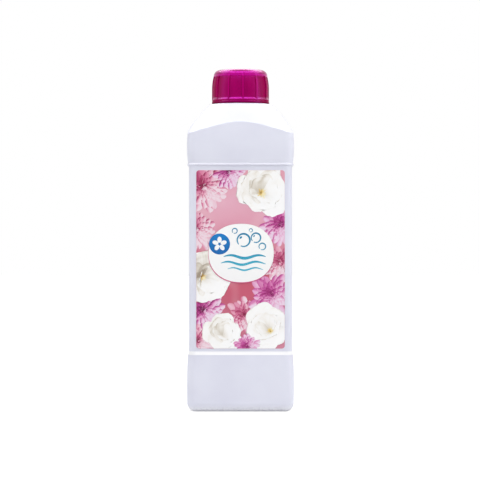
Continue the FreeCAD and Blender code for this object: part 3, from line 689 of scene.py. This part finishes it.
# %% Petal finishes
WHITE_PETAL = [
    (0.0, (0.36, 0.29, 0.22, 1)),
    (0.25, (0.68, 0.62, 0.53, 1)),
    (0.48, (0.90, 0.87, 0.82, 1)),
    (0.72, (0.98, 0.97, 0.955, 1)),
    (1.0, (1.0, 1.0, 1.0, 1)),
]
PINK_PETAL = [
    (0.0, (0.158, 0.006, 0.037, 1)),
    (0.25, (0.409, 0.033, 0.121, 1)),
    (0.5, (0.688, 0.177, 0.326, 1)),
    (0.75, (0.828, 0.437, 0.558, 1)),
    (1.0, (0.883, 0.707, 0.781, 1)),
]
MAGENTA_PETAL = [
    (0.0, (0.112, 0.004, 0.056, 1)),
    (0.25, (0.335, 0.014, 0.158, 1)),
    (0.5, (0.595, 0.093, 0.353, 1)),
    (0.75, (0.781, 0.335, 0.577, 1)),
    (1.0, (0.865, 0.67, 0.818, 1)),
]
VEIN_COUNT = 9.0
TONE_REACH = 40.0
VEIN_SHARE = 0.22
TONE_SHARE = 0.14
TIP_SHARE = 0.12
GOLD_STAMEN = [
    (0.0, (0.24, 0.12, 0.03, 1)),
    (0.3, (0.58, 0.36, 0.08, 1)),
    (0.6, (0.86, 0.66, 0.26, 1)),
    (1.0, (0.97, 0.88, 0.60, 1)),
]


def attribute(tree, name):
    """A number stored on the mesh."""
    return add(tree, "ShaderNodeAttribute", {"attribute_name": name}).outputs["Fac"]


def petal_finish(name, stops):
    """Printed petal: the stored light through a ramp, with veins and a tone of its own."""
    made, tree, shader = new_finish(name, PRINT_ROUGHNESS, Specular_IOR_Level=PRINT_SHINE)
    across = sums(tree, "MULTIPLY", attribute(tree, "across"), VEIN_COUNT)
    along = attribute(tree, "along")
    tone = attribute(tree, "tone")
    far_apart = sums(tree, "MULTIPLY", tone, TONE_REACH)
    vein_place = add(tree, "ShaderNodeCombineXYZ", {}, across, along, far_apart).outputs[0]
    vein = noise(tree, vein_place, 1.0, 2.0)
    value = attribute(tree, "shade")
    for number, share in ((vein, VEIN_SHARE), (tone, TONE_SHARE)):
        value = sums(tree, "ADD", value, sums(tree, "MULTIPLY", sums(tree, "SUBTRACT", number, 0.5), share))
    value = sums(tree, "ADD", value, sums(tree, "MULTIPLY", sums(tree, "POWER", along, 2.0), TIP_SHARE))
    tree.links.new(colour_ramp(tree, value, stops), shader.inputs["Base Color"])
    return made


petal_finishes = {
    "white": petal_finish("white_petals", WHITE_PETAL),
    "pink": petal_finish("pink_petals", PINK_PETAL),
    "magenta": petal_finish("magenta_petals", MAGENTA_PETAL),
    "gold": petal_finish("gold_stamens", GOLD_STAMEN),
}
print("petal finishes:", sorted(petal_finishes))

# %% [markdown]
# ## A bouquet for the label
# Two kinds of blossom make the print: open white anemones with a few broad petals and gold stamens, and
# dahlias with many narrow petals. Each line of the list gives a kind, a colour, the place to the right and
# up on the label and the radius in millimetres, the sheet of print that it lies on, and how it leans. A
# parent tree holds one blossom group for each line, so the whole bouquet grows at once.

# %% Bouquet
SHEET_STEP = 0.000075
FIRST_SHEET = 0.35
TOP_SHEET = 6.0
LABEL_FACE = low_corner.y
KINDS = {
    "anemone": {
        "Petals": 13,
        "Columns": 11,
        "Rows": 13,
        "Width": 0.86,
        "Point": 0.32,
        "Cup": 0.3,
        "Bow": 0.12,
        "Inner size": 0.62,
        "Outer tilt": 0.18,
        "Inner tilt": 0.95,
        "Ruffle": 0.22,
    },
    "dahlia": {
        "Petals": 76,
        "Columns": 5,
        "Rows": 8,
        "Width": 0.34,
        "Point": 0.42,
        "Cup": 0.9,
        "Bow": 0.1,
        "Inner size": 0.34,
        "Outer tilt": 0.1,
        "Inner tilt": 1.35,
        "Ruffle": 0.1,
    },
    "stamens": {
        "Petals": 46,
        "Columns": 3,
        "Rows": 4,
        "Width": 0.16,
        "Point": 0.3,
        "Cup": 0.5,
        "Bow": 0.1,
        "Inner size": 0.3,
        "Outer tilt": 0.5,
        "Inner tilt": 1.5,
        "Ruffle": 0.1,
    },
}
BOUQUET = [
    ("dahlia", "pink", -27, 163, 20, 0, (0.2, 0.3)),
    ("dahlia", "magenta", -8, 174, 13, 1, (0.3, 0.1)),
    ("anemone", "white", 15, 158, 24, 2, (-0.25, 0.2)),
    ("dahlia", "magenta", 31, 135, 17, 1, (0.1, -0.3)),
    ("dahlia", "pink", -33, 131, 16, 1, (0.0, 0.4)),
    ("dahlia", "pink", 31, 108, 16, 0, (0.2, -0.4)),
    ("anemone", "white", -28, 98, 21, 2, (0.2, 0.45)),
    ("dahlia", "magenta", 24, 84, 19, 1, (-0.1, -0.2)),
    ("dahlia", "magenta", -27, 73, 17, 1, (0.1, 0.3)),
    ("dahlia", "pink", 3, 69, 15, 0, (-0.2, 0.1)),
    ("anemone", "white", 22, 58, 21, 3, (-0.35, -0.3)),
    ("anemone", "white", -13, 55, 17, 3, (-0.3, 0.15)),
    ("dahlia", "pink", -31, 50, 14, 2, (-0.2, 0.2)),
    ("dahlia", "magenta", 5, 46, 11, 4, (-0.5, 0.0)),
    ("stamens", "gold", 15, 158, 5, 3, (-0.25, 0.2)),
    ("stamens", "gold", -28, 98, 4, 3, (0.2, 0.45)),
    ("stamens", "gold", 22, 58, 4, 4, (-0.35, -0.3)),
]


def bouquet_tree():
    """One blossom group for each line of the bouquet, joined into one geometry."""
    tree, given, result = new_tree("bouquet", {"Radius scale": 1.0, "Press": PRESS})
    join = tree.nodes.new("GeometryNodeJoinGeometry")
    for number, (kind, colour, right, up, radius, sheet, lean) in enumerate(BOUQUET):
        group = tree.nodes.new("GeometryNodeGroup")
        group.node_tree = blossom
        for label, value in KINDS[kind].items():
            group.inputs[label].default_value = value
        group.inputs["Seed"].default_value = 11 * number + 3
        group.inputs["Spin"].default_value = 0.7 * number
        group.inputs["Facing"].default_value = (lean[0], lean[1], 0.0)
        face = LABEL_FACE - SHEET_STEP * (FIRST_SHEET + sheet)
        group.inputs["Place"].default_value = (right / 1000, face, up / 1000)
        group.inputs["Finish"].default_value = petal_finishes[colour]
        tree.links.new(sums(tree, "MULTIPLY", given["Radius scale"], radius / 1000), group.inputs["Radius"])
        tree.links.new(given["Press"], group.inputs["Press"])
        tree.links.new(group.outputs[0], join.inputs[0])
    whole = add(tree, "GeometryNodeRealizeInstances", {}, join.outputs[0]).outputs[0]
    tree.links.new(whole, result)
    return tree


def grow(name, tree, settings):
    """Runs a tree as a modifier with its inputs set by identifier, and keeps the result as a plain mesh."""
    seed_mesh = bpy.data.meshes.new(name)
    carrier = add_object(name, seed_mesh)
    modifier = carrier.modifiers.new("grow", "NODES")
    modifier.node_group = tree
    for item in tree.interface.items_tree:
        if item.in_out == "INPUT" and item.name in settings:
            modifier[item.identifier] = settings[item.name]
    graph = bpy.context.evaluated_depsgraph_get()
    made = bpy.data.meshes.new_from_object(carrier.evaluated_get(graph), depsgraph=graph)
    carrier.modifiers.clear()
    carrier.data = made
    made.name = name
    return carrier


blossoms = grow("front_blossoms", bouquet_tree(), {"Radius scale": 1.0, "Press": PRESS})
print("blossoms:", len(blossoms.data.polygons), "faces,", len(blossoms.data.materials), "finishes")

# %% [markdown]
# ## Trimmed to the label
# A printed sheet is cut after it is printed, so blossoms at the edge are cut off with it. The label's
# outline is a rounded rectangle, which is convex, so a few straight cuts along its outline trim everything.

# %% Trim
LABEL_CORNER = 0.0022
EDGE_MARGIN = 0.00005


def outline_cuts(low, high, corner, steps=6):
    """Points on the rounded rectangle in X and Z, each with the outward direction there."""
    cuts = []
    for side_x in (-1, 1):
        for side_z in (-1, 1):
            middle = Vector((
                (high.x if side_x > 0 else low.x) - side_x * corner,
                0,
                (high.z if side_z > 0 else low.z) - side_z * corner,
            ))
            for step in range(steps + 1):
                angle = math.pi / 2 * step / steps
                out = Vector((side_x * math.cos(angle), 0, side_z * math.sin(angle)))
                cuts.append((middle + out * (corner - EDGE_MARGIN), out))
    return cuts


def trim(piece, low, high):
    """Cuts off everything outside the label's outline, and merges the petals' pointed ends."""
    shape = bmesh.new()
    shape.from_mesh(piece.data)
    bmesh.ops.dissolve_degenerate(shape, dist=1e-7, edges=shape.edges)
    for point, out in outline_cuts(low, high, LABEL_CORNER):
        everything = shape.verts[:] + shape.edges[:] + shape.faces[:]
        bmesh.ops.bisect_plane(shape, geom=everything, plane_co=point, plane_no=out, clear_outer=True)
    for face in shape.faces:
        face.smooth = True
    shape.to_mesh(piece.data)
    shape.free()


trim(blossoms, low_corner, high_corner)
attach(blossoms, "bottle_body")
print("after trimming:", len(blossoms.data.polygons), "faces")

# %% [markdown]
# ## Badge and spot
# A white oval lies in the middle of the label, with a blue spot on its left edge. Both are plain printed
# shapes. Each shape is a thin closed plate, built from its outline, because a plate a few hundredths of a
# millimetre thick lies above the blossoms without sinking into them, and its edge stays sharp close up.

# %% Plates
SHEET_TOP = LABEL_FACE - SHEET_STEP * TOP_SHEET
PLATE = 0.00004
SPECK_SIZE = 0.0006
SPECK_SHARE = 0.12


def print_finish(name, first, second, low_z, high_z):
    """Flat ink that runs from one colour to another over a height."""
    made, tree, shader = new_finish(name, PRINT_ROUGHNESS, Specular_IOR_Level=PRINT_SHINE)
    place, x, y, z = object_place(tree)
    speck = sums(tree, "SUBTRACT", noise(tree, place, SPECK_SIZE, 2.0), 0.5)
    speck = sums(tree, "MULTIPLY", speck, SPECK_SHARE)
    amount = sums(tree, "ADD", between(tree, z, low_z, high_z), speck)
    tree.links.new(blend_colours(tree, amount, first, second), shader.inputs["Base Color"])
    return made


def plate(name, outlines, front, finish):
    """One thin closed plate for each outline, all in one object. Outlines are lists of (x, z) in metres."""
    shape = bmesh.new()
    for outline in outlines:
        corners = [shape.verts.new((x, front, z)) for x, z in outline]
        face = shape.faces.new(corners)
        face.normal_update()
        if face.normal.y > 0:
            face.normal_flip()
        grown = bmesh.ops.extrude_face_region(shape, geom=[face])
        for vert in [v for v in grown["geom"] if isinstance(v, bmesh.types.BMVert)]:
            vert.co.y = front + PLATE
    bmesh.ops.triangulate(shape, faces=[f for f in shape.faces if len(f.verts) > 4])
    bmesh.ops.recalc_face_normals(shape, faces=shape.faces)
    mesh = bpy.data.meshes.new(name)
    shape.to_mesh(mesh)
    shape.free()
    mesh.materials.append(finish)
    made = add_object(name, mesh)
    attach(made, "bottle_body")
    return made


def oval(middle, half_width, half_height, count=96, lean=0.0, power=2.0):
    """Points round an oval; power above two squares it a little."""
    points = []
    for step in range(count):
        angle = 2 * math.pi * step / count
        across = math.copysign(abs(math.cos(angle)) ** (2 / power), math.cos(angle)) * half_width
        up = math.copysign(abs(math.sin(angle)) ** (2 / power), math.sin(angle)) * half_height
        right = middle[0] + across * math.cos(lean) - up * math.sin(lean)
        points.append((right, middle[1] + across * math.sin(lean) + up * math.cos(lean)))
    return points


BADGE_MIDDLE = (0.0005, 0.1152)
BADGE_HALF = (0.0236, 0.0212)
SPOT_MIDDLE = (-0.0152, 0.1217)
SPOT_RADIUS = 0.0076
BADGE_POWER = 2.2
RIM_SHIFT = (-0.0002, -0.0007)
RIM_WIDER = 0.0001
low_z, high_z = BADGE_MIDDLE[1] - BADGE_HALF[1], BADGE_MIDDLE[1] + BADGE_HALF[1]
badge_white = print_finish("badge_white", (0.95, 0.95, 0.95, 1), (0.99, 0.99, 0.985, 1), low_z, high_z)
badge_rose = print_finish("badge_rim_rose", (0.62, 0.10, 0.24, 1), (0.82, 0.42, 0.52, 1), low_z, high_z)
spot_blue = print_finish("spot_blue", (0.0, 0.13, 0.43, 1), (0.0, 0.2, 0.56, 1), 0.114, 0.1295)
rim_middle = (BADGE_MIDDLE[0] + RIM_SHIFT[0], BADGE_MIDDLE[1] + RIM_SHIFT[1])
rim = oval(rim_middle, BADGE_HALF[0] + RIM_WIDER, BADGE_HALF[1], power=BADGE_POWER)
plate("badge_rim", [rim], SHEET_TOP, badge_rose)
plate("badge", [oval(BADGE_MIDDLE, *BADGE_HALF, power=BADGE_POWER)], SHEET_TOP - PLATE, badge_white)
plate("spot", [oval(SPOT_MIDDLE, SPOT_RADIUS, SPOT_RADIUS)], SHEET_TOP - 2 * PLATE, spot_blue)
print("badge and spot at y =", round(SHEET_TOP * 1000, 3), "mm")

# %% [markdown]
# ## Marks on the badge
# The badge holds foam bubbles over waves of water, in teal, and the spot holds a small white blossom. They
# show what the bottle is for. Each mark is the outline of a simple curve, a sine for a wave
# and a circle for a bubble, given a thickness that swells and thins as a brush stroke does.

# %% Waves, bubbles and the small blossom
TEAL = (0.006, 0.22, 0.40, 1)
TEAL_LIGHT = (0.05, 0.45, 0.62, 1)
WAVE_END = 0.00002
RING_START = 243
RING_SWEEP = 338
RING_THIN = 0.55
marks_ink = print_finish("badge_teal", TEAL_LIGHT, TEAL, 0.098, 0.131)
pale_ink = print_finish("spot_white", (0.93, 0.95, 0.97, 1), (0.98, 0.98, 0.98, 1), 0.114, 0.1295)


def wave(start, end, height, swing, thickness, turns, count=60):
    """A ribbon that swings up and down and thins towards both ends."""
    top, bottom = [], []
    for step in range(count + 1):
        share = step / count
        x = start + (end - start) * share
        middle = height + swing * math.sin(2 * math.pi * turns * share)
        half = thickness / 2 * math.sin(math.pi * share) ** 0.5 + WAVE_END
        top.append((x, middle + half))
        bottom.append((x, middle - half))
    return top + bottom[::-1]


def ring(middle, radius, thickness, count=40):
    """A band round a circle, left open at the lower left like the rim of a bubble."""
    start = math.radians(RING_START)
    sweep = math.radians(RING_SWEEP)
    outer, inner = [], []
    for step in range(count + 1):
        angle = start + sweep * step / count
        half = thickness / 2 * (RING_THIN + (1 - RING_THIN) * math.sin(math.pi * step / count))
        for side, reach in ((outer, radius + half), (inner, radius - half)):
            side.append((middle[0] + reach * math.cos(angle), middle[1] + reach * math.sin(angle)))
    return outer + inner[::-1]


waves = [
    wave(-0.0125, 0.0185, 0.1125, 0.0011, 0.0021, 1.5),
    wave(-0.0145, 0.0185, 0.1078, 0.0011, 0.0018, 1.6),
    wave(-0.0095, 0.0165, 0.1036, 0.0009, 0.0012, 1.6),
]
bubbles = [
    ring((0.0022, 0.1245), 0.0046, 0.0013),
    ring((0.0112, 0.1262), 0.0034, 0.0011),
    ring((0.0158, 0.1199), 0.0024, 0.0009),
    ring((-0.0042, 0.1312), 0.0018, 0.0008),
    ring((0.0075, 0.1316), 0.0012, 0.0006),
]
glints = [oval((0.0002, 0.1264), 0.0011, 0.0007, 24, 0.7), oval((0.0098, 0.1275), 0.0008, 0.0005, 24, 0.7)]
plate("badge_waves", waves, SHEET_TOP - 2 * PLATE, marks_ink)
plate("badge_bubbles", bubbles + glints, SHEET_TOP - 2 * PLATE, marks_ink)


def spot_petals(middle, reach, count):
    """Round petals about a middle, each a small oval that points outwards."""
    petals = []
    for step in range(count):
        angle = 2 * math.pi * step / count + math.pi / 2
        spot = (middle[0] + reach * math.cos(angle), middle[1] + reach * math.sin(angle))
        petals.append(oval(spot, reach * 0.72, reach * 0.5, 28, angle))
    return petals


spot_bloom = spot_petals(SPOT_MIDDLE, 0.0031, 5)
plate("spot_blossom", spot_bloom, SHEET_TOP - 3 * PLATE, pale_ink)
print("marks:", len(waves), "waves,", len(bubbles), "bubbles")

# %% [markdown]
# ## The back label
# The back of such a bottle carries its instructions. Here a white panel holds rows of plain bars that
# stand for lines of small print, in two columns. The rows repeat, so Geometry Nodes set them: each point
# in a column carries one bar, a random length leaves the ends ragged, and every fifth bar is short, like
# the last line of a paragraph.

# %% Back print
back_low, back_high = (Vector(c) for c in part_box("back_label"))
BACK_FACE = back_high.y
panel_middle = (0.0, (back_low.z + back_high.z) / 2 - 0.006)
panel_half = (0.0275, 0.05)
PARAGRAPH = 5.0
LAST_SHORTER = 0.45
SHORTEST = 0.78
ROWS_TOP = 0.036
HEADING_ABOVE = 0.043


def bars_tree():
    """Rows of bars on the back label, each as long as chance makes it."""
    sockets = {
        "Rows": 20,
        "Row step": 0.0026,
        "Bar length": 0.022,
        "Bar height": 0.0009,
        "Left": 0.0,
        "Top": 0.15,
        "Face": 0.0,
        "Seed": 1,
        "Finish": "",
    }
    tree, given, result = new_tree("small_print", sockets)
    index = tree.nodes.new("GeometryNodeInputIndex").outputs[0]
    length = sums(tree, "MULTIPLY", given["Bar length"], chance(tree, SHORTEST, 1.0, given["Seed"]))
    last = sums(tree, "COMPARE", sums(tree, "MODULO", index, PARAGRAPH), PARAGRAPH - 1.0, 0.1)
    shorter = sums(tree, "MULTIPLY", last, LAST_SHORTER)
    length = sums(tree, "MULTIPLY", length, sums(tree, "SUBTRACT", 1.0, shorter))
    middle = sums(tree, "ADD", given["Left"], sums(tree, "MULTIPLY", length, -0.5))
    height = sums(tree, "SUBTRACT", given["Top"], sums(tree, "MULTIPLY", index, given["Row step"]))
    spot = add(tree, "ShaderNodeCombineXYZ", {}, middle, given["Face"], height).outputs[0]
    points = add(tree, "GeometryNodePoints", {}, given["Rows"], spot).outputs[0]
    bar = add(tree, "GeometryNodeMeshCube", {}, (1.0, 1.0, 1.0)).outputs[0]
    scale = add(tree, "ShaderNodeCombineXYZ", {}, length, PLATE, given["Bar height"]).outputs[0]
    rows = add(tree, "GeometryNodeInstanceOnPoints", {}, points, None, bar)
    plug(tree, rows.inputs["Scale"], scale)
    whole = add(tree, "GeometryNodeRealizeInstances", {}, rows.outputs[0]).outputs[0]
    whole = add(tree, "GeometryNodeSetMaterial", {}, whole, None, given["Finish"]).outputs[0]
    tree.links.new(whole, result)
    return tree


ink_grey = print_finish("small_print_grey", (0.10, 0.16, 0.24, 1), (0.14, 0.22, 0.30, 1), 0.05, 0.17)
small_print = bars_tree()
columns = []
for number, left in enumerate((0.0245, -0.0015)):
    settings = {
        "Left": left,
        "Top": panel_middle[1] + ROWS_TOP,
        "Face": BACK_FACE + 2.5 * PLATE,
        "Seed": number + 5,
        "Finish": ink_grey,
        "Rows": 29,
    }
    column = grow(f"back_print_{number}", small_print, settings)
    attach(column, "bottle_body")
    columns.append(column)
panel = oval(panel_middle, *panel_half, 120, power=12.0)
plate("back_panel", [panel], BACK_FACE + PLATE, badge_white)
heading = oval((0, panel_middle[1] + HEADING_ABOVE), 0.022, 0.0022, 60, power=8.0)
plate("back_heading", [heading], BACK_FACE + 2 * PLATE, marks_ink)
print("back print:", sum(len(c.data.polygons) for c in columns), "faces")
